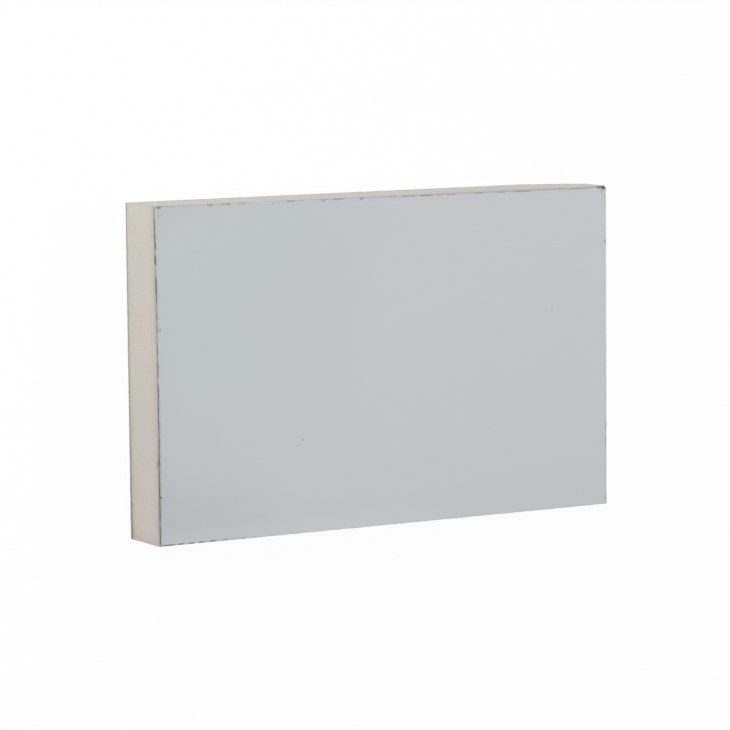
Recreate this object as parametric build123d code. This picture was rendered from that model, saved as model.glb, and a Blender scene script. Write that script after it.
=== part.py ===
from build123d import *
import os

# Insulated sandwich panel: a sample block sawn by hand out of a flat wall panel.
# Two painted steel facings are bonded to a core of rigid foam.
# Millimetres. The block lies on its rear facing: X runs along it, Y across it, Z up.
# The origin is under the middle of the whole block, on the rear facing's outer face.

# The block, measured on its square saw cuts
panel_length = 303.0
panel_width = 195.0
panel_thickness = 40.0

# Steel facings, their outer arris rolled over by the saw
facing_thickness = 0.8
arris_radius = 0.35

# The front facing's +Y edge was cut out of square: this far over at -X, and short at +X
front_rise = 0.3
front_trim = 1.1

# The front facing's -X edge runs out towards its +Y corner
corner_flare = 1.0
corner_flare_run = 70.0

# Knocked corner at +X +Y, through the front facing and into the foam behind it
knock_run = 4.0
knock_drop = 0.3
knock_depth = 1.4

# Along -Y the foam stands this far past the front facing, and leans on towards the rear
foot_step = 0.4
foot_lean = 0.6

# Behind the front facing, the +Y saw cut reaches this much further at -X than at +X
head_rise = 0.25

# The saw ran off at the rear +X +Y corner and left a sloping facet there
facet_drop = 1.0
facet_run = 37.0
facet_height = 18.0

# Foam core: just behind the sawn steel edges, with a torn groove beside each facing
core_recess = 0.1
groove_size = 0.6

# Pockets broken out of the foam along those grooves, on the -X end
pocket_radius = 1.6
pocket_depth = 0.9
front_pocket_places = (-51.0, 71.0)
rear_pocket_places = (-78.0, -63.0)

core_thickness = panel_thickness - 2 * facing_thickness
core_bottom = facing_thickness
core_top = facing_thickness + core_thickness
x_end = panel_length / 2
y_end = panel_width / 2

# The saw cuts behind the front facing that aren't square, each looking out of the block
foot_cut = Plane(
    origin=(0, -y_end - foot_step, panel_thickness),
    z_dir=(0, -1, foot_lean / panel_thickness),
)
head_cut = Plane(
    origin=(x_end, y_end, 0),
    z_dir=(head_rise / panel_length, 1, 0),
)
facet_cut = Plane(
    origin=(x_end - facet_run, y_end, 0),
    z_dir=(facet_drop / facet_run, 1, -facet_drop / facet_height),
)


def sawn_layer(bottom, thickness, inset=0.0):
    """One layer of the block, moved in from the saw cuts by inset."""
    length = panel_length - 2 * inset
    uncut_width = panel_width + 2 * (foot_step + foot_lean + head_rise)
    layer = Pos(0, 0, bottom + thickness / 2) * Box(length, uncut_width, thickness)
    for cut in (foot_cut, head_cut, facet_cut):
        layer = split(layer, bisect_by=cut.offset(-inset), keep=Keep.BOTTOM)
    return layer


def front_edge(x):
    """Y of the front facing's +Y edge at x."""
    return y_end + front_rise - (front_rise + front_trim) * (x + x_end) / panel_length


# The knocked corner, from the front facing's +Y edge down to its +X edge
knock_start = (x_end - knock_run, front_edge(x_end - knock_run))
knock_end = (x_end, front_edge(x_end) - knock_drop)


def front_facing():
    """Upper sheet, with its flared corner and its knocked corner."""
    flare_start = (-x_end, y_end - corner_flare_run)
    flare_end = (-x_end - corner_flare, front_edge(-x_end))
    outline = Curve() + [
        TangentArc(flare_start, flare_end, tangent=(0, 1)),
        Polyline(flare_end, knock_start, knock_end, (x_end, -y_end), (-x_end, -y_end), flare_start),
    ]
    sheet = Pos(0, 0, core_top) * extrude(make_face(outline), facing_thickness)
    outer_face = sheet.faces().sort_by(Axis.Z)[-1]
    return fillet(outer_face.edges(), arris_radius)


def rear_facing():
    """Lower sheet, whose outer face is the one that the block rests on."""
    sheet = sawn_layer(0, facing_thickness)
    outer_face = sheet.faces().sort_by(Axis.Z)[0]
    return fillet(outer_face.edges(), arris_radius)


def knocked_foam():
    """What the knock pressed off the foam behind the front facing's corner."""
    clear = front_trim + knock_drop
    wedge = Polyline(
        knock_start,
        knock_end,
        (x_end + clear, knock_end[1]),
        (x_end + clear, y_end + clear),
        (knock_start[0], y_end + clear),
        close=True,
    )
    return Pos(0, 0, panel_thickness - knock_depth) * extrude(make_face(wedge), knock_depth)


def foam_core():
    """Foam block, with the torn grooves along its upper and lower arrises."""
    block = sawn_layer(core_bottom, core_thickness, core_recess)
    flat_faces = block.faces().filter_by(Axis.Z)
    block = chamfer(flat_faces.edges(), groove_size)
    block = block - knocked_foam()
    pocket_x = -x_end + core_recess - pocket_radius + pocket_depth
    for place in front_pocket_places:
        block = block - Pos(pocket_x, place, core_top - groove_size) * Sphere(pocket_radius)
    for place in rear_pocket_places:
        block = block - Pos(pocket_x, place, core_bottom + groove_size) * Sphere(pocket_radius)
    return block


pieces = {
    "front_facing": front_facing(),
    "foam_core": foam_core(),
    "rear_facing": rear_facing(),
}

# Brings the middle of the whole outline over the origin
to_middle = Pos(corner_flare / 2, (foot_step + foot_lean - max(front_rise, head_rise)) / 2, 0)

os.makedirs("parts", exist_ok=True)
for name, solid in pieces.items():
    export_step(to_middle * solid, f"parts/{name}.step")
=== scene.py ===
"""A sample block of insulated sandwich panel: its looks, the studio and the camera."""
import math

import bmesh
import bpy
from mathutils import Matrix, Vector, noise


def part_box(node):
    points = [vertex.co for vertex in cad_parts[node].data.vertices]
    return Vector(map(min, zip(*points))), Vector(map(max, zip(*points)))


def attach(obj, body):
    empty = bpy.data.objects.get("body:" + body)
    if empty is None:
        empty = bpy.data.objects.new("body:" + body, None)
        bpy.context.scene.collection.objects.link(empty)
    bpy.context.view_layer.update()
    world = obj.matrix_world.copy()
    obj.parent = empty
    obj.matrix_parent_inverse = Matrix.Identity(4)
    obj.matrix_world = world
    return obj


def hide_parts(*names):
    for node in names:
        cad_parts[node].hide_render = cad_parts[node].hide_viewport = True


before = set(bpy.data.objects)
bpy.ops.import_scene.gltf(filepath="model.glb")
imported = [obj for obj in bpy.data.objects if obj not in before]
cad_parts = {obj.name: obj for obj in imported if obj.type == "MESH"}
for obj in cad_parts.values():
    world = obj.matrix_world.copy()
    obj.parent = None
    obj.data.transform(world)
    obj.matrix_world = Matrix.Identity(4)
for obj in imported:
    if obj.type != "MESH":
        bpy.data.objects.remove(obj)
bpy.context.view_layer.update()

mm = 0.001

# How the saw cuts leave the square, as in the part's own source
front_rise = 0.3 * mm
front_trim = 1.1 * mm
corner_flare_run = 70 * mm
foot_step = 0.4 * mm
foot_lean = 0.6 * mm
head_rise = 0.25 * mm
facet_drop = 1.0 * mm
facet_run = 37 * mm
facet_height = 18 * mm
knock_run = 4 * mm
knock_drop = 0.3 * mm
knock_depth = 1.4 * mm

# The block's own sizes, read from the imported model. Places in this script are measured from
# the middle of the square saw cuts, and the finished meshes are moved by middle.
front_low, front_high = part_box("front_facing")
rear_low, rear_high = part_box("rear_facing")
core_low, core_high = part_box("foam_core")
half_length = (rear_high.x - rear_low.x) / 2
half_width = (front_high.y - front_low.y - front_rise) / 2
middle = Vector((rear_high.x - half_length, front_low.y + half_width, 0))
front_outer = front_high.z
front_inner = front_low.z
rear_inner = rear_high.z
rear_outer = rear_low.z
core_recess = rear_high.x - core_high.x
corner_flare = rear_low.x - front_low.x

# Steel facings: the rolled arris, the step of the mesh along the edges, and the rows of faces
# that follow the edges inside the arris. Wear moves the mesh as far in as worn_band.
arris_radius = 0.35 * mm
arris_segments = 3
facing_step = 1.5 * mm
inset_steps = (0.35 * mm, 0.6 * mm)
worn_band = arris_radius + sum(inset_steps)
sheet_sharp_angle = 40

# The knocked corner of the front sheet: its bend down for each millimetre that it was knocked
# in, and how far and over what run its very tip was turned up again
corner_bend = 0.4
burr_rise = 0.7 * mm
burr_run = 2.2 * mm

# How far the saw wandered on each edge, -X, +X, -Y and +Y, of the front and the rear sheet.
# sheets_apart keeps the two sheets from wandering alike.
front_wobbles = (0.18 * mm, 0.02 * mm, 0.10 * mm, 0.12 * mm)
rear_wobbles = (0.04 * mm, 0.05 * mm, 0.05 * mm, 0.08 * mm)
wobble_length = 11 * mm
nick_depth = 0.12 * mm
nick_length = 2.4 * mm
sheets_apart = 900

# Foam: the mesh's step along the edges, its rows between the facings, closer together beside
# them, and the torn grooves
core_step = 0.72 * mm
core_rows = 52
row_crowding = 0.7
groove_size = 0.6 * mm
torn_length = 5 * mm
foam_sharp_angle = 60

# How deep the saw and the cells leave the foam's faces, and the length over which each changes
rough_depth = 0.05 * mm
fine_length = 1.6 * mm
broad_length = 8 * mm
chatter_depth = 0.03 * mm
chatter_length = 1.3 * mm
pit_depth = 0.35 * mm
pit_length = 2.4 * mm
pit_rarity = 0.55

# How fast the foam behind the knocked corner ramps down, along X and in height
ramp_run = 1.2 * mm
ramp_height = 0.3 * mm

# Pockets broken out of the foam beside a facing, on -X: place along Y, height, reach, depth
pockets = (
    (-51.0 * mm, front_inner - 1.0 * mm, 1.9 * mm, 0.9 * mm),
    (71.0 * mm, front_inner - 0.6 * mm, 1.5 * mm, 0.6 * mm),
    (-78.0 * mm, rear_inner + 0.6 * mm, 1.6 * mm, 0.7 * mm),
    (-63.0 * mm, rear_inner + 0.5 * mm, 1.4 * mm, 0.7 * mm),
)

# Places whose heights differ by less than this lie on one level
hair = 1e-6

# The floor: half its side in metres, its gap under the block, its two tones and the size of
# their clouds, and how much of its own shading the camera sees
floor_reach = 30.0
floor_gap = 0.02 * mm
floor_tones = ((0.93, 0.93, 0.93), (0.95, 0.95, 0.95))
floor_clouds = 0.4
floor_shade = 0.06

# Square lamps: place, side in metres, power in watts. The even white surroundings add a fill.
lamps = {
    "key": (Vector((-1.9, 1.3, 2.0)), 2.0, 52),
    "side": (Vector((1.5, 0.4, 1.8)), 1.5, 8),
}
world_fill = 0.50

# The camera stands where the photograph was taken from: its turn about +Y, its tilt
# about its own level axis and its roll, and where it sees the front face's lower left corner
camera_turn = math.radians(-28.99)
camera_tilt = math.radians(-6.56)
camera_roll = math.radians(-0.55)
corner_from_camera = Vector((-116.87, -104.18, -2106.8)) * mm
sensor_width = 36.0
lens = 181.45
camera_reach = 100.0


class Value:
    """A number in a node tree, so that masks add and multiply as numbers do."""

    def __init__(self, nodes, socket):
        self.nodes = nodes
        self.socket = socket

    def maths(self, operation, *others):
        return self.nodes.take("ShaderNodeMath", {"operation": operation}, [self, *others])

    def __add__(self, other):
        return self.maths("ADD", other)

    def __sub__(self, other):
        return self.maths("SUBTRACT", other)

    def __mul__(self, other):
        return self.maths("MULTIPLY", other)

    def __truediv__(self, other):
        return self.maths("DIVIDE", other)

    def __rsub__(self, other):
        return self.nodes.take("ShaderNodeMath", {"operation": "SUBTRACT"}, [other, self])

    __radd__ = __add__
    __rmul__ = __mul__

    def __abs__(self):
        return self.maths("ABSOLUTE")

    def lesser(self, other):
        return self.maths("MINIMUM", other)

    def greater(self, other):
        return self.maths("MAXIMUM", other)

    def fade(self, start, end):
        """0 at start, 1 at end, eased and held beyond both."""
        values = {"Value": self, "From Min": start, "From Max": end}
        return self.nodes.take("ShaderNodeMapRange", {"interpolation_type": "SMOOTHSTEP"}, values)


class Nodes:
    """The node tree of a material or of the world."""

    def __init__(self, tree):
        self.tree = tree

    def put(self, socket, value):
        """Link a value to a socket, or set the socket to a plain one."""
        if isinstance(value, Value):
            self.tree.links.new(value.socket, socket)
        else:
            socket.default_value = value

    def node(self, kind, settings, values):
        """A node of the given kind, its settings set before its sockets."""
        made = self.tree.nodes.new(kind)
        for name, setting in settings.items():
            setattr(made, name, setting)
        pairs = values.items() if isinstance(values, dict) else enumerate(values)
        for key, value in pairs:
            self.put(made.inputs[key], value)
        return made

    def take(self, kind, settings, values, output=0):
        """One output of a new node."""
        return Value(self, self.node(kind, settings, values).outputs[output])

    def seen(self):
        """1 for what the camera sees straight on, in a reflection or through glass."""
        path = self.node("ShaderNodeLightPath", {}, {})
        straight, reflected, through = (
            Value(self, path.outputs[ray])
            for ray in ("Is Camera Ray", "Is Glossy Ray", "Is Transmission Ray")
        )
        return straight.greater(reflected).greater(through)


class Finish(Nodes):
    """One procedural material."""

    def __init__(self, name):
        self.material = bpy.data.materials.new(name)
        self.material.use_nodes = True
        super().__init__(self.material.node_tree)
        self.shader = self.tree.nodes["Principled BSDF"]
        object_place = self.take("ShaderNodeTexCoord", {}, {}, "Object")
        moved = {"Vector": object_place, "Location": -middle}
        self.place = self.take("ShaderNodeMapping", {}, moved)
        split = self.node("ShaderNodeSeparateXYZ", {}, {"Vector": self.place})
        self.x, self.y, self.z = (Value(self, output) for output in split.outputs)

    def scaled(self, sx, sy, sz):
        """The place, stretched for a pattern that runs in one direction."""
        return self.take("ShaderNodeMapping", {}, {"Vector": self.place, "Scale": (sx, sy, sz)})

    def clouds(self, size, detail=2.0, roughness=0.5, place=None):
        """Soft noise around 0.5, in clouds of about the given size."""
        values = {
            "Vector": place or self.place,
            "Scale": 1 / size,
            "Detail": detail,
            "Roughness": roughness,
        }
        return self.take("ShaderNodeTexNoise", {}, values)

    def cells(self, size):
        """Distance to the middle of the nearest cell, in cells of about the given size."""
        values = {"Vector": self.place, "Scale": 1 / size}
        return self.take("ShaderNodeTexVoronoi", {}, values, "Distance")

    def mix(self, share, first, second, blend="MIX"):
        """Colour mix: share 0 gives the first, 1 the second."""
        made = self.node("ShaderNodeMix", {"data_type": "RGBA", "blend_type": blend}, {})
        colour_inputs = [i for i in made.inputs if i.type == "RGBA"]
        self.put(made.inputs["Factor"], share)
        for socket, colour in zip(colour_inputs, (first, second)):
            self.put(socket, colour if isinstance(colour, Value) else (*colour, 1.0))
        output = next(o for o in made.outputs if o.type == "RGBA")
        return Value(self, output)

    def shaded(self, colour, share):
        """Colour made lighter or darker by a share that changes over the surface."""
        grey = self.take("ShaderNodeCombineColor", {}, [share, share, share])
        return self.mix(1.0, colour, grey, "MULTIPLY")

    def bump(self, height, strength, distance):
        """The surface's normal where a small relief tips it."""
        values = {"Strength": strength, "Distance": distance, "Height": height}
        return self.take("ShaderNodeBump", {}, values)

    def set(self, **values):
        """Feed the shader's main sockets."""
        names = {
            "colour": "Base Color",
            "roughness": "Roughness",
            "metallic": "Metallic",
            "normal": "Normal",
        }
        for key, value in values.items():
            socket = self.shader.inputs[names[key]]
            self.put(socket, value if isinstance(value, (Value, float)) else (*value, 1.0))


def over_zero(amount):
    """The amount where it is above zero, for a number or for a value in a material."""
    return amount.greater(0.0) if isinstance(amount, Value) else max(0.0, amount)


def left_cut(y, front):
    """X of the -X saw cut at y, on the front facing or on the layers under it."""
    if not front:
        return -half_length
    run = over_zero((y - (half_width - corner_flare_run)) / corner_flare_run)
    return -half_length - run * run * corner_flare


def lower_cut(z, front):
    """Y of the -Y saw cut at height z."""
    if front:
        return -half_width
    return -half_width - foot_step - (1 - z / front_outer) * foot_lean


def upper_cut(x, z, front):
    """Y of the +Y saw cut at x and height z."""
    to_end = (half_length - x) / (2 * half_length)
    if front:
        return half_width - front_trim + to_end * (front_rise + front_trim)
    facet = (x - (half_length - facet_run)) / facet_run - z / facet_height
    head = to_end * head_rise
    return half_width + head - over_zero(head + facet * facet_drop)


def inside_cuts(x, y, z, front):
    """How far a point lies inside each saw cut: -X, +X, -Y, +Y."""
    return (
        x - left_cut(y, front),
        half_length - x,
        y - lower_cut(z, front),
        upper_cut(x, z, front) - y,
    )


# Size of the clouds that make a mark's rim ragged
rim_size = 0.6 * mm


def patch(finish, place, reach, ragged):
    """1 inside an oval mark at place, falling to 0 at its reach, with a ragged rim."""
    rim = (finish.clouds(rim_size, 2.0) - 0.5) * ragged
    across = (finish.x - place[0] * mm) / (reach[0] * mm)
    along = (finish.y - place[1] * mm) / (reach[1] * mm)
    return (across * across + along * along + rim * 2.0).fade(1.0, 0.15)


# Marks on the painted front, each with its place and its reach in x and y, in mm
rust_spots = (
    ((149.7, 96.2), (2.0, 1.1)),
    ((145.9, 96.5), (1.1, 0.6)),
    ((-150.9, -69.2), (0.7, 0.8)),
)
rust_halos = (
    ((149.0, 95.6), (3.8, 1.9)),
    ((147.8, 93.7), (0.9, 0.7)),
)
corner_spots = (
    ((-149.5, 97.3), (1.9, 1.3)),
)
dark_spots = (
    ((-116.4, 96.8), (1.7, 0.8)),
    ((-105.6, 97.0), (1.5, 0.6)),
    ((-76.0, 96.3), (1.0, 0.6)),
    ((-43.6, 96.3), (1.4, 0.7)),
    ((-17.8, 96.3), (1.2, 0.8)),
    ((-58.6, -42.6), (0.6, 0.7)),
    ((112.6, 23.8), (0.7, 0.5)),
    ((-149.9, 27.3), (0.8, 1.5)),
    ((150.7, 63.6), (1.1, 2.0)),
    ((151.0, -49.5), (1.0, 4.0)),
    ((151.0, -58.5), (1.0, 5.0)),
    ((151.1, -94.0), (0.8, 4.0)),
)
drips = (
    ((-149.6, 93.2), (0.6, 4.2)),
    ((148.3, 90.5), (0.40, 5.5)),
    ((150.3, 89.0), (0.35, 6.5)),
)
scratches = (
    ((-16.2, -11.4), (0.20, 7.0)),
    ((-127.1, 59.3), (0.18, 4.0)),
    ((147.5, 91.0), (0.25, 5.0)),
    ((64.0, -58.0), (5.0, 0.16)),
)
bright_nicks = (
    ((-151.1, -85.5), (0.6, 0.9)),
    ((-151.3, 63.5), (0.5, 0.9)),
    ((-151.2, -1.0), (0.5, 0.8)),
)

# Worn places along the front facing's +Y, -Y and -X edges: place along the edge and reach, in
# mm, and share worn
upper_dashes = (
    (-142.0, 4.0, 0.65),
    (-117.0, 2.8, 0.90),
    (-106.6, 4.6, 0.86),
    (-96.5, 4.5, 0.62),
    (-64.5, 3.8, 0.80),
    (-57.0, 3.0, 0.50),
    (-43.0, 3.0, 0.66),
    (-33.0, 5.0, 0.82),
    (-18.0, 1.6, 0.95),
    (3.0, 4.0, 0.66),
    (14.0, 7.0, 0.86),
    (25.5, 6.0, 0.97),
    (35.0, 3.0, 0.70),
    (42.5, 4.0, 0.75),
    (62.0, 5.0, 0.70),
    (77.5, 3.8, 0.80),
    (92.0, 8.5, 0.80),
    (132.0, 12.0, 0.68),
)
lower_dashes = (
    (-146.5, 5.5, 0.95),
    (-138.5, 2.7, 1.00),
    (-132.0, 2.4, 1.00),
    (-125.4, 2.4, 1.00),
    (-118.3, 2.6, 1.00),
    (-110.0, 3.0, 0.60),
    (-104.0, 1.6, 0.36),
    (-98.3, 1.8, 0.62),
    (-91.5, 1.6, 0.40),
)
left_dashes = (
    (94.0, 4.5, 0.42),
    (87.0, 4.5, 0.72),
    (80.0, 3.0, 0.80),
    (75.0, 2.6, 1.00),
    (67.0, 3.0, 1.00),
    (50.0, 9.0, 0.88),
    (35.0, 2.4, 0.60),
    (27.5, 2.6, 0.75),
    (15.5, 4.0, 0.55),
    (4.0, 6.0, 0.55),
    (-8.0, 4.5, 0.85),
    (-16.0, 3.5, 0.60),
    (-28.0, 5.0, 0.70),
    (-40.0, 5.0, 0.75),
    (-48.0, 5.0, 0.95),
    (-57.0, 4.0, 0.75),
    (-66.0, 5.0, 0.95),
    (-79.0, 4.5, 0.85),
    (-90.0, 3.6, 0.62),
)

# Places along -X where the foam is torn deeper beside the front facing, in the same terms
torn_dashes = (
    (87.0, 11.5, 1.00),
    (77.0, 4.0, 0.60),
    (67.5, 3.8, 0.85),
    (53.0, 6.0, 0.45),
)

# How far from its middle, in reaches, a worn place is whole and where it has gone
dash_whole = 0.45
dash_gone = 1.15


def sum_of(marks, finish, ragged):
    """All the marks of one list as one mask."""
    total = patch(finish, *marks[0], ragged)
    for mark in marks[1:]:
        total = total.greater(patch(finish, *mark, ragged))
    return total


def dashes_along(along, dashes, total):
    """How far an edge is worn at each place along it, from the share worn everywhere."""
    for place, reach, share in dashes:
        gap = abs(along - place * mm) / (reach * mm)
        total = total.greater(gap.fade(dash_gone, dash_whole) * share)
    return total


# Tones of the coating, of what shows where it is chipped or worn off, and of the rust
paint_blue = (0.556, 0.568, 0.597)
paint_green = (0.524, 0.556, 0.562)
# Painted shade: the next tone greys and darkens the coating towards the lower left corner
paint_shaded_grey = (0.504, 0.510, 0.536)
paint_pale = (0.530, 0.528, 0.544)
primer_tone = (0.30, 0.29, 0.27)
chip_tone = (0.185, 0.168, 0.152)
chip_cool = (0.145, 0.150, 0.155)
chip_brown = (0.205, 0.160, 0.110)
scratch_tone = (0.66, 0.67, 0.68)
steel_tone = (0.258, 0.245, 0.222)
steel_dark = (0.050, 0.047, 0.040)
steel_olive = (0.150, 0.152, 0.110)
zinc_tone = (0.47, 0.47, 0.465)
rust_tone = (0.150, 0.098, 0.078)
rust_deep = (0.080, 0.052, 0.044)
rust_stain = (0.44, 0.34, 0.28)

# How the marks lie on the coating, in this order: ragged rim, strength and tone
coating_marks = (
    (bright_nicks, 0.5, 0.60, scratch_tone),
    (drips, 0.6, 0.32, primer_tone),
    (scratches, 0.5, 0.40, scratch_tone),
    (dark_spots, 0.5, 0.65, primer_tone),
    (corner_spots, 0.5, 0.85, chip_tone),
    (rust_halos, 0.5, 0.65, rust_stain),
)

# The band beside an edge that counts as its arris: where it is whole and where it has gone
arris_whole = 0.5 * mm
arris_gone = 0.9 * mm

# The steel's sheen where it is bare, and the strength and depth of the coating's relief
bare_metallic = 0.35
bare_roughness = 0.72
coating_relief = (0.25, 0.03 * mm)


def browned(finish):
    """The stretch along +Y where dirt has browned the sawn edge."""
    return finish.x.fade(10 * mm, 60 * mm) * finish.x.fade(112 * mm, 92 * mm)


def coating(finish, left, lower, upper, mottle):
    """Coating tone: greener to the left and paler high up there; painted shade darkens it low
    down.
    """
    broad = finish.clouds(90 * mm, 2.0) - 0.5
    leftness = finish.x / half_length + broad * 0.8 - finish.y.fade(20 * mm, 80 * mm) * 0.35
    leftness = leftness.fade(0.1, -0.9)
    leftness = leftness * (finish.y.fade(-50 * mm, 0.0) * 0.7 + 0.3)
    tone = finish.mix(leftness, paint_blue, paint_green)
    # Painted shade: greyer and darker towards the lower left corner
    from_shaded_corner = left / (150 * mm) + lower / (110 * mm) + broad * 0.6
    tone = finish.mix(from_shaded_corner.fade(1.0, 0.03), tone, paint_shaded_grey)
    from_upper = left / (70 * mm) + upper / (22 * mm)
    tone = finish.mix(from_upper.fade(1.1, 0.2) * 0.85, tone, paint_pale)
    # Painted shade: darker beside the left edge and low down
    shade_left_and_low = left.fade(14 * mm, 0.0) * 0.018 + lower.fade(60 * mm, 0.0) * 0.022
    # Lighter in a band beside the lower edge, towards the left
    lighter_near_lower_edge = lower.fade(14 * mm, 1 * mm) * finish.x.fade(60 * mm, -60 * mm) * 0.06
    return finish.shaded(tone, 0.988 + mottle * 0.024 - shade_left_and_low + lighter_near_lower_edge)


def front_wear(finish, tone, gaps, near, seam, broken):
    """The front's chips and marks: the tone with them on, and the shares worn bare and rusty."""
    left, right, lower, upper = gaps
    near_left, near_right, near_lower, near_upper = near
    upper_wear = finish.x.fade(-98 * mm, -120 * mm) * 0.28
    upper_wear = upper_wear + finish.x.fade(-75 * mm, -35 * mm) * 0.22 + 0.23
    lower_wear = finish.x.fade(-80 * mm, -115 * mm) * 0.22
    head = dashes_along(finish.x, upper_dashes, upper_wear)
    foot = dashes_along(finish.x, lower_dashes, lower_wear)

    # Chips that show on the flat front beside the edges, and the marks on it
    chips = upper.fade(1.0 * mm, 0.45 * mm) * head.fade(0.3, 1.15)
    chipped = finish.mix(browned(finish), chip_tone, chip_brown)
    tone = finish.mix(chips * 0.8, tone, chipped)
    chips = (lower.fade(1.3 * mm, 0.65 * mm) * foot).fade(0.15, 0.95)
    tone = finish.mix(chips * 0.85, tone, chip_cool)
    rim = seam * 0.2 + finish.y.fade(-5 * mm, -15 * mm) * 0.25
    rim = left.fade(1.4 * mm, 0.5 * mm) * rim * (broken * 0.5 + 0.5)
    tone = finish.mix(rim, tone, chip_tone)
    # Darker along the right edge, low down
    darker_right_edge = right.fade(2.2 * mm, 0.4 * mm) * finish.y.fade(5 * mm, -25 * mm)
    tone = finish.mix(darker_right_edge * 0.16, tone, primer_tone)
    for marks, ragged, share, mark_tone in coating_marks:
        tone = finish.mix(sum_of(marks, finish, ragged) * share, tone, mark_tone)

    # How far the arris is worn bare, and where it rusts
    worn = near_left * (seam.fade(0.05, 0.5) * 0.65 + 0.35)
    worn = worn.greater(near_upper * head).greater(near_lower * foot)
    right_wear = broken * 0.15 + finish.y.fade(10 * mm, -25 * mm) * 0.5
    worn = worn.greater(near_right * right_wear)
    rust = finish.clouds(7 * mm, 3.0, 0.6).fade(0.62, 0.72) * near_left * 0.7
    spots = sum_of(rust_spots, finish, 0.35).fade(0.15, 0.7)
    return tone, worn, rust.greater(spots * 0.92)


def rear_wear(finish, steel, near_left, broken):
    """The rear sheet's edge: mostly clean zinc, and on -X dirtier and rustier towards -Y."""
    dirt = finish.y.fade(105 * mm, -60 * mm) * 0.7 + finish.y.fade(-25 * mm, -65 * mm) * 0.3
    dirt = dirt * near_left
    steel = finish.mix(finish.y.fade(-45 * mm, -75 * mm) * 0.62, steel, steel_dark)
    steel = finish.mix(dirt, zinc_tone, steel)
    worn = (broken * 0.8 + 0.2) * (1 - finish.y.fade(80 * mm, 96 * mm) * 0.6)
    worn = worn.greater(near_left * finish.y.fade(97 * mm, 76 * mm))
    rust = dirt * finish.clouds(7 * mm, 3.0, 0.6).fade(0.60, 0.70) * 0.6
    return steel, worn, rust


def painted_facing(name, front):
    """Satin coil coating, worn off along the arris, over steel that rusts where it was sawn."""
    finish = Finish(name)
    gaps = inside_cuts(finish.x, finish.y, finish.z, front)
    near = [gap.fade(arris_gone, arris_whole) for gap in gaps]
    left, right, lower, upper = gaps
    near_left = near[0]
    mottle = finish.clouds(14 * mm, 3.0, 0.6)
    tone = coating(finish, left, lower, upper, mottle)

    # Darker along the edges, broken up by the clouds
    edge = left.lesser(right).lesser(lower.lesser(upper))
    edge_darkening = edge.fade(1.6 * mm, 0.0) * finish.clouds(3.5 * mm, 3.0, 0.6).fade(0.40, 0.75)
    tone = finish.mix(edge_darkening * 0.15, tone, primer_tone)

    # The steel under the coating, darkest where the seam on -X is dirty and olive in patches
    broken = finish.clouds(5 * mm, 3.0, 0.65).fade(0.36, 0.56)
    lowness = finish.y.fade(5 * mm, -45 * mm)
    seam = dashes_along(finish.y, left_dashes, lowness * 0.4 + 0.2)
    seam = seam * lower.fade(0.3 * mm, 2.2 * mm)
    black = finish.clouds(3.2 * mm, 3.0, 0.65).fade(0.40, 0.60) * (lowness * 0.1 + 0.4)
    black = black.greater(near_left * seam.fade(0.55, 1.15))
    steel = finish.mix(black, steel_tone, steel_dark)
    steel = finish.mix(finish.clouds(17 * mm, 2.0).fade(0.52, 0.62), steel, steel_olive)
    if front:
        tone, worn, rust = front_wear(finish, tone, gaps, near, seam, broken)
    else:
        steel, worn, rust = rear_wear(finish, steel, near_left, broken)

    # The coating is gone only where the surface turns down over the arris
    outward = finish.take("ShaderNodeNewGeometry", {}, {}, "Normal")
    normal_z = finish.take("ShaderNodeSeparateXYZ", {}, {"Vector": outward}, "Z")
    flatness = abs(normal_z) + (finish.clouds(1.8 * mm, 3.0) - 0.5) * 0.35
    bare = flatness.fade(0.93, 0.68) * worn
    rusty = finish.mix(finish.clouds(1.4 * mm, 3.0).fade(0.40, 0.60), rust_tone, rust_deep)
    colour = finish.mix(bare, tone, steel)
    colour = finish.mix(rust, colour, rusty)
    skin = 1 - bare.greater(rust)
    coat_roughness = 0.40 + mottle * 0.08 + finish.clouds(1.1 * mm, 2.0) * 0.03
    roughness = coat_roughness * skin + (1 - skin) * bare_roughness
    metallic = bare * (1 - rust) * bare_metallic

    peel = finish.clouds(1.3 * mm, 1.0)
    roll = finish.clouds(3 * mm, 2.0, 0.5, finish.scaled(0.04, 1.0, 1.0))
    height = peel * 0.5 + roll * 0.3 - bare.greater(rust) * 2.0
    normal = finish.bump(height, *coating_relief)
    finish.set(colour=colour, roughness=roughness, metallic=metallic, normal=normal)
    return finish.material


# Tones of the foam, of the dirt on it and of the light and shade painted on it
foam_cream = (0.643, 0.600, 0.552)
foam_pink = (0.648, 0.594, 0.550)
foam_green = (0.634, 0.602, 0.546)
foam_grey_painted_light = (0.636, 0.618, 0.612)
# The next tone is painted light on the +Y face
foam_brown = (0.650, 0.606, 0.576)
# The next tone serves for the denser foam and for painted shade low down
foam_dull_and_shade = (0.500, 0.467, 0.434)
# The next tone serves for grime beside the facings and for painted shade along the lower edge
foam_grime_and_shade = (0.250, 0.235, 0.205)
# The next tone is painted shade in the cells and blow holes, and the saw's marks
foam_pit_shade_and_mark = (0.330, 0.290, 0.240)
foam_olive = (0.440, 0.425, 0.330)
# The next tone is dirt and painted shade in the torn grooves
seam_dirt_and_shade = (0.136, 0.132, 0.106)
seam_brown = (0.260, 0.200, 0.165)
stain_brown = (0.130, 0.095, 0.078)

# The foam's large and small cells, how far apart its blow holes are, its sheen, and the
# strength and depth of its relief
cell_size = 0.55 * mm
small_cell_size = 0.28 * mm
hole_spacing = 4.3 * mm
foam_roughness = 0.93
foam_specular = 0.25
foam_relief = (0.5, 0.12 * mm)


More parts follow.
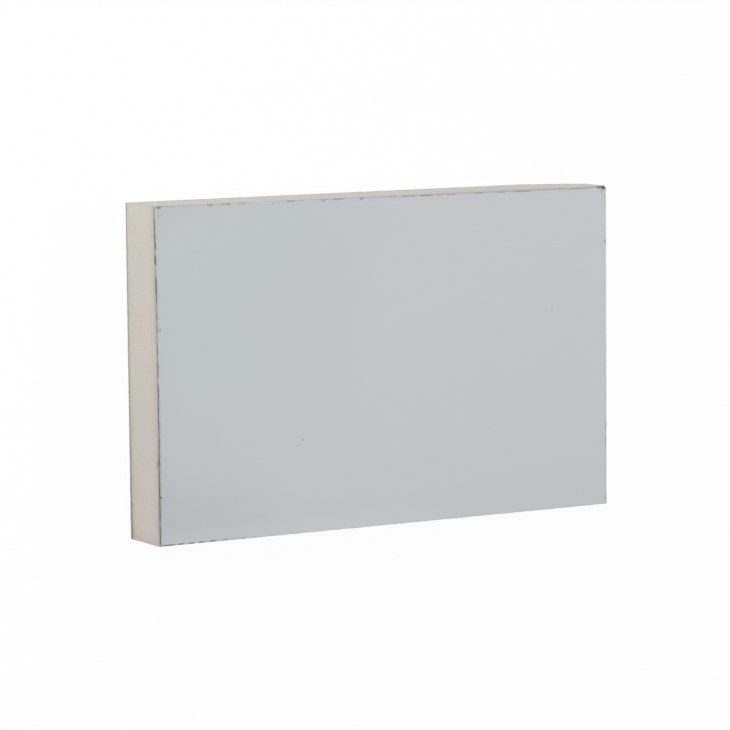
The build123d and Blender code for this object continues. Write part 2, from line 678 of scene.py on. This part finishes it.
def sawn_foam(name):
    """Closed-cell rigid foam: fine cells, blow holes, saw chatter and darker skin layers."""
    finish = Finish(name)
    left, _, lower, upper = inside_cuts(finish.x, finish.y, finish.z, False)
    to_front = front_inner - finish.z
    to_rear = finish.z - rear_inner
    at_left = left.fade(2.4 * mm, 1.6 * mm)
    at_upper = upper.fade(1.6 * mm, 0.8 * mm) * (1 - at_left)

    patches = finish.clouds(22 * mm, 3.0, 0.55)
    tone = finish.mix(patches.fade(0.35, 0.65), foam_pink, foam_green)
    tone = finish.mix(0.5, tone, foam_cream)
    # Painted light: the +Y face greyer and cooler than the -X end, for the light that falls on it
    tone = finish.mix(at_upper * 0.9, tone, foam_grey_painted_light)
    tone = finish.mix(at_upper * browned(finish), tone, foam_brown)

    # Denser, duller foam towards each facing, and painted shade darkening it towards the lower
    # end
    drift = finish.clouds(6 * mm, 3.0) * 3 * mm
    lowness = (half_width - finish.y) / (2 * half_width)
    tone = finish.mix(lowness * 0.52, tone, foam_dull_and_shade)
    skin = (to_front + drift).fade(14 * mm, 4 * mm) * 0.40
    skin = skin.greater((to_rear + drift).fade(4 * mm, 1.2 * mm) * 0.20)
    tone = finish.mix(skin * (at_left * 0.7 + 0.3), tone, foam_dull_and_shade)

    # Grime drawn in beside the facings on -X, most near the ends of the front one; painted shade
    # low down
    ends = abs(finish.y + 5 * mm).fade(15 * mm, 55 * mm) * 0.35 + 0.5
    grime_and_low_shade = (to_front + drift * 0.25).fade(5.4 * mm, -0.5 * mm) * ends * 0.8
    rear_share = lowness * 0.35 + 0.02
    grime_and_low_shade = grime_and_low_shade.greater((to_rear + drift * 0.5).fade(6.5 * mm, 0.5 * mm) * rear_share)
    # Painted shade along the lower edge and at its rear corner
    grime_and_low_shade = grime_and_low_shade.greater(lower.fade(7 * mm, 1 * mm) * 0.15)
    grime_and_low_shade = grime_and_low_shade.greater(lower.fade(1.8 * mm, 0.3 * mm) * 0.3)
    grime_and_low_shade = grime_and_low_shade.greater(lower.fade(16 * mm, 2 * mm) * to_rear.fade(8 * mm, 2 * mm) * 0.4)
    tone = finish.mix(grime_and_low_shade * at_left, tone, foam_grime_and_shade)

    # Cells and blow holes, with painted shade in their hollows, and the marks of the saw's teeth
    cell = finish.cells(cell_size)
    small_cell = finish.cells(small_cell_size)
    tone = finish.mix(cell.fade(0.25, 0.75) * 0.12, tone, foam_pit_shade_and_mark)
    holed = finish.clouds(6 * mm, 2.0, 0.6).fade(0.52, 0.62)
    holes = finish.cells(hole_spacing).fade(0.13, 0.07) * holed
    tone = finish.mix(holes * 0.6, tone, foam_pit_shade_and_mark)
    chatter = finish.clouds(1.6 * mm, 2.0, 0.6, finish.scaled(1.0, 1.0, 0.06))
    tone = finish.mix(chatter.fade(0.55, 0.75) * 0.08, tone, foam_pit_shade_and_mark)

    # Dirt and painted shade in the torn grooves: olive and nearly black beside the front facing
    # on -X
    along = finish.clouds(9 * mm, 3.0, 0.6)
    fringe = finish.clouds(15 * mm, 2.0).fade(0.40, 0.60)
    fringe = (to_front + drift * 0.3).fade(3.2 * mm, 0.8 * mm) * fringe
    tone = finish.mix(fringe * at_left * 0.4, tone, foam_olive)
    torn = dashes_along(finish.y, torn_dashes, lowness.fade(0.68, 0.85) * 0.12)
    front_seam = (to_front - (along * 1.3 + torn * 1.7) * mm).fade(0.45 * mm, -0.05 * mm)
    chipped = abs(finish.y + 84.8 * mm).fade(1.6 * mm, 0.6 * mm)
    dark = (lowness * 0.6 + 0.35 + torn * 0.38) * lower.fade(0.3 * mm, 2.2 * mm)
    dark = dark * (1 - chipped * 0.5)
    tone = finish.mix(front_seam * at_left * dark, tone, seam_dirt_and_shade)
    tone = finish.mix(front_seam * (1 - at_left) * 0.25, tone, seam_dirt_and_shade)
    rear_width = along * (0.8 + lowness * 0.7) + lower.fade(30 * mm, 2 * mm) * 0.5
    rear_seam = (to_rear - rear_width * mm).fade(0.4 * mm, -0.05 * mm)
    tone = finish.mix(rear_seam * at_left * (lowness * 0.8 + 0.1), tone, seam_dirt_and_shade)

    # Rust stain behind the knocked corner, darker down beside the sheet
    corner = finish.x.fade(half_length - 7.5 * mm, half_length - 4.5 * mm)
    corner = corner * upper.fade(5 * mm, 3 * mm)
    stain = corner * (to_front + drift * 0.4).fade(3.2 * mm, 1.2 * mm)
    tone = finish.mix(stain * 0.65, tone, seam_brown)
    stain = corner * to_front.fade(2.2 * mm, 1.2 * mm) * upper.fade(0.3 * mm, 1.1 * mm)
    tone = finish.mix(stain * 0.8, tone, stain_brown)

    # Brown dirt in one pocket of -X and in the narrow tear that runs out of it
    pocket = abs(finish.y + 49.5 * mm) / (5.5 * mm) + to_front / (5.0 * mm)
    tear = abs(finish.y + 51.4 * mm) / (3.0 * mm) + to_front / (6.5 * mm)
    pocket = pocket.fade(1.0, 0.3).greater(tear.fade(1.0, 0.45))
    tone = finish.mix(pocket * at_left * 0.62, tone, seam_brown)

    height = cell * -0.6 + small_cell * -0.25 - holes * 2.5 + chatter * 0.5
    normal = finish.bump(height, *foam_relief)
    finish.set(colour=tone, roughness=foam_roughness, normal=normal)
    finish.shader.inputs["Specular IOR Level"].default_value = foam_specular
    return finish.material


def bright_stage(name, share):
    """A pale surface that the camera and reflections see as white, apart from its shadows."""
    finish = Finish(name)
    finish.tree.nodes.remove(finish.shader)
    tone = finish.mix(finish.clouds(floor_clouds, 2.0), *floor_tones)
    plain = finish.take("ShaderNodeBsdfDiffuse", {}, {"Color": tone})
    white = finish.take("ShaderNodeEmission", {}, {"Color": (1, 1, 1, 1), "Strength": 1.0})
    shown = finish.take("ShaderNodeMixShader", {}, [share, white, plain])
    mixed = finish.take("ShaderNodeMixShader", {}, [finish.seen(), plain, shown])
    finish.put(finish.tree.nodes["Material Output"].inputs["Surface"], mixed)
    return finish.material


def wander(place, length, seed):
    """Noise from -1 to 1 that changes over the given length; each seed gives other noise."""
    return noise.noise((place + Vector((seed, seed * 0.37, seed * 0.71))) / length)


def unit_ring(step):
    """Closed square ring of edges from -1 to 1, divided as the saw cuts' lengths ask."""
    bm = bmesh.new()
    bmesh.ops.create_grid(bm, x_segments=1, y_segments=1, size=1.0)
    bmesh.ops.delete(bm, geom=bm.faces[:], context="FACES_ONLY")
    for axis, reach in ((0, half_length), (1, half_width)):
        sides = [e for e in bm.edges if abs(e.verts[0].co[axis] - e.verts[1].co[axis]) > 1.0]
        bmesh.ops.subdivide_edges(bm, edges=sides, cuts=round(2 * reach / step) - 1)
    return bm


def between_cuts(shares, front, inset=0.0):
    """The point at the given shares, -1 to 1, of the way between the saw cuts at its height."""
    low = lower_cut(shares.z, front) + inset
    high = upper_cut(shares.x * half_length, shares.z, front) - inset
    y = low + (high - low) * (shares.y + 1) / 2
    left = left_cut(y, front) + inset
    right = half_length - inset
    return Vector((left + (right - left) * (shares.x + 1) / 2, y, shares.z))


# Which way is in from each saw cut: -X, +X, -Y, +Y
inward = (Vector((1, 0, 0)), Vector((-1, 0, 0)), Vector((0, 1, 0)), Vector((0, -1, 0)))


def nearest_cut(place, front):
    """Distance to the nearest saw cut, and which one it is."""
    gaps = inside_cuts(*place, front)
    which = gaps.index(min(gaps))
    return gaps[which], which


def knocked_in(x):
    """How far the knocked corner lies in from the front facing's upper edge at x."""
    return knock_drop * over_zero(min(1.0, (x - (half_length - knock_run)) / knock_run))


def turned_up(x):
    """How far the very tip of the knocked corner was turned up again."""
    return burr_rise * over_zero(min(1.0, (x - (half_length - burr_run)) / burr_run))


def finish_mesh(bm, name, material, sharp_angle):
    """Turn the bmesh into a piece, moved to where the block lies."""
    bmesh.ops.translate(bm, verts=bm.verts[:], vec=middle)
    bmesh.ops.recalc_face_normals(bm, faces=bm.faces[:])
    mesh = bpy.data.meshes.new(name)
    bm.to_mesh(mesh)
    bm.free()
    mesh.materials.append(material)
    mesh.shade_smooth()
    mesh.set_sharp_from_angle(angle=math.radians(sharp_angle))
    piece = bpy.data.objects.new(name, mesh)
    bpy.context.scene.collection.objects.link(piece)
    return piece


def sawn_sheet(name, inner, outer, material, front):
    """A steel sheet with its outer arris rolled over and its sawn edge a little ragged."""
    bm = unit_ring(facing_step)
    for vertex in bm.verts:
        vertex.co.z = inner
        vertex.co = between_cuts(vertex.co, front)
    ring = bmesh.ops.edgeloop_fill(bm, edges=bm.edges[:])["faces"]
    raised = bmesh.ops.extrude_face_region(bm, geom=ring)["geom"]
    outer_verts = [g for g in raised if isinstance(g, bmesh.types.BMVert)]
    bmesh.ops.translate(bm, verts=outer_verts, vec=(0, 0, outer - inner))
    bmesh.ops.recalc_face_normals(bm, faces=bm.faces[:])
    arris = [e for e in bm.edges if all(abs(v.co.z - outer) < hair for v in e.verts)]
    bmesh.ops.bevel(
        bm,
        geom=arris,
        offset=arris_radius,
        offset_type="OFFSET",
        segments=arris_segments,
        profile=0.5,
        affect="EDGES",
        material=-1,
        clamp_overlap=True,
    )
    level = [f for f in bm.faces if abs(f.calc_center_median().z - outer) < hair]
    face = max(level, key=lambda f: len(f.verts))
    for depth in inset_steps:
        bmesh.ops.inset_region(bm, faces=[face], thickness=depth, use_even_offset=True)
    for vertex in bm.verts:
        wear_sheet(vertex, outer, front)
    return finish_mesh(bm, name, material, sheet_sharp_angle)


def wear_sheet(vertex, outer, front):
    """Move a vertex near the sawn edge to where the saw and the knocks left it."""
    place = vertex.co.copy()
    gap, which = nearest_cut(place, front)
    share = max(0.0, 1 - gap / worn_band)
    along = Vector((place.x, place.y, outer * sheets_apart))
    wobbles = front_wobbles if front else rear_wobbles
    ragged = wobbles[which] * (0.5 + 0.5 * wander(along, wobble_length, 1))
    nick = nick_depth * max(0.0, wander(along, nick_length, 3))
    vertex.co += inward[which] * (ragged + nick) * share
    if front and place.y > 0:
        held = max(0.0, 1 - inside_cuts(*place, front)[3] / worn_band)
        pressed = knocked_in(place.x) * held
        vertex.co.y += turned_up(place.x) * held - pressed
        vertex.co.z -= pressed * corner_bend


def foam_block(name, material):
    """The core, with its sawn faces torn beside the facings and pitted by the saw."""
    bm = unit_ring(core_step)
    bmesh.ops.translate(bm, verts=bm.verts[:], vec=(0, 0, core_low.z))
    drawn = bmesh.ops.extrude_edge_only(bm, edges=bm.edges[:])["geom"]
    upper_verts = [g for g in drawn if isinstance(g, bmesh.types.BMVert)]
    height = core_high.z - core_low.z
    bmesh.ops.translate(bm, verts=upper_verts, vec=(0, 0, height))
    upright = [e for e in bm.edges if abs(e.verts[0].co.z - e.verts[1].co.z) > height / 2]
    bmesh.ops.subdivide_edges(bm, edges=upright, cuts=core_rows - 1, use_grid_fill=True)
    for vertex in bm.verts:
        share = (vertex.co.z - core_low.z) / height
        crowded = share - row_crowding * math.sin(2 * math.pi * share) / (2 * math.pi)
        vertex.co.z = core_low.z + height * crowded
        vertex.co = between_cuts(vertex.co, False, core_recess)
    for vertex in bm.verts:
        place = vertex.co.copy()
        vertex.co += inward[nearest_cut(place, False)[1]] * foam_depth(place)
    rims = [e for e in bm.edges if len(e.link_faces) == 1]
    for level in (core_low.z, core_high.z):
        rim = [e for e in rims if abs(e.verts[0].co.z - level) < hair]
        bmesh.ops.edgeloop_fill(bm, edges=rim)
    return finish_mesh(bm, name, material, foam_sharp_angle)


def foam_depth(place):
    """How far the sawn foam lies behind its flat cut face at a point."""
    to_facing = min(front_inner - place.z, place.z - rear_inner)
    torn = 0.5 + 0.5 * wander(place, torn_length, 11)
    reach = groove_size * (0.6 + 1.2 * torn)
    groove = groove_size * (0.5 + 0.6 * torn) * max(0.0, 1 - to_facing / reach)
    rough = rough_depth * (1 + wander(place, fine_length, 2))
    rough += rough_depth * (1 + wander(place, broad_length, 5))
    upright = Vector((place.x, place.y, place.z * 0.1))
    chatter = chatter_depth * (1 + wander(upright, chatter_length, 7))
    pit = pit_depth * max(0.0, wander(place, pit_length, 17) - pit_rarity)
    depth = groove + rough + chatter + pit
    if place.x < -half_length + 1 * mm:
        for along, level, size, deep in pockets:
            gap = math.hypot(place.y - along, place.z - level) / size
            depth = max(depth, deep * (1 - gap * gap))
    if place.y > half_width / 2:
        to_edge = half_width - core_recess - upper_cut(place.x, place.z, True)
        to_edge += knocked_in(place.x)
        ramp = min(1.0, max(0.0, (place.x - (half_length - knock_run)) / ramp_run))
        ramp *= min(1.0, max(0.0, (knock_depth - (front_outer - place.z)) / ramp_height))
        depth = max(depth, to_edge * ramp)
    return depth


facing_paint = painted_facing("painted_facing", True)
rear_paint = painted_facing("painted_facing_rear", False)
foam = sawn_foam("sawn_foam")

front_sheet = sawn_sheet("front_facing_sheet", front_inner, front_outer, facing_paint, True)
rear_sheet = sawn_sheet("rear_facing_sheet", rear_inner, rear_outer, rear_paint, False)
core = foam_block("foam_core_block", foam)
for piece, node, slot in (
    (front_sheet, "front_facing", "painted_facing"),
    (rear_sheet, "rear_facing", "painted_facing"),
    (core, "foam_core", "foam"),
):
    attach(piece, "root")
    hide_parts(node)


def lay_floor():
    """Pale floor that the block lies on."""
    bm = bmesh.new()
    bmesh.ops.create_grid(bm, x_segments=1, y_segments=1, size=floor_reach)
    bmesh.ops.translate(bm, verts=bm.verts[:], vec=(0, 0, rear_outer - floor_gap))
    floor = finish_mesh(bm, "floor", bright_stage("floor_white", floor_shade), sheet_sharp_angle)


def hang_lamp(name, place, size, power):
    """Square soft lamp, turned to the middle of the block."""
    lamp = bpy.data.lights.new(name, "AREA")
    lamp.size = size
    lamp.energy = power
    holder = bpy.data.objects.new(name, lamp)
    target = Vector((0, 0, front_outer / 2))
    turn = (place - target).to_track_quat("Z", "Y")
    holder.matrix_world = Matrix.Translation(place) @ turn.to_matrix().to_4x4()
    bpy.context.scene.collection.objects.link(holder)


def light_world(fill):
    """Even white surroundings: fill for the block's light, white where they are seen."""
    world = bpy.data.worlds.new("surroundings")
    bpy.context.scene.world = world
    world.use_nodes = True
    nodes = Nodes(world.node_tree)
    background = nodes.tree.nodes["Background"]
    background.inputs["Color"].default_value = (1, 1, 1, 1)
    nodes.put(background.inputs["Strength"], nodes.seen() * (1 - fill) + fill)


def place_camera():
    """Camera at the photograph's angle, looking down on the block as it lies."""
    turn = Matrix.Rotation(camera_turn, 4, "Y")
    tilt = Matrix.Rotation(camera_tilt, 4, "X")
    roll = Matrix.Rotation(camera_roll, 4, "Z")
    facing = turn @ tilt @ roll
    corner = middle + Vector((-half_length, -half_width, front_outer))
    data = bpy.data.cameras.new("camera")
    data.lens = lens
    data.sensor_width = sensor_width
    data.clip_end = camera_reach
    holder = bpy.data.objects.new("camera", data)
    holder.matrix_world = Matrix.Translation(corner - facing @ corner_from_camera) @ facing
    bpy.context.scene.collection.objects.link(holder)
    bpy.context.scene.camera = holder


lay_floor()
for name, (place, size, power) in lamps.items():
    hang_lamp(name, place, size, power)
light_world(world_fill)
place_camera()

bpy.context.scene.view_settings.view_transform = "Standard"
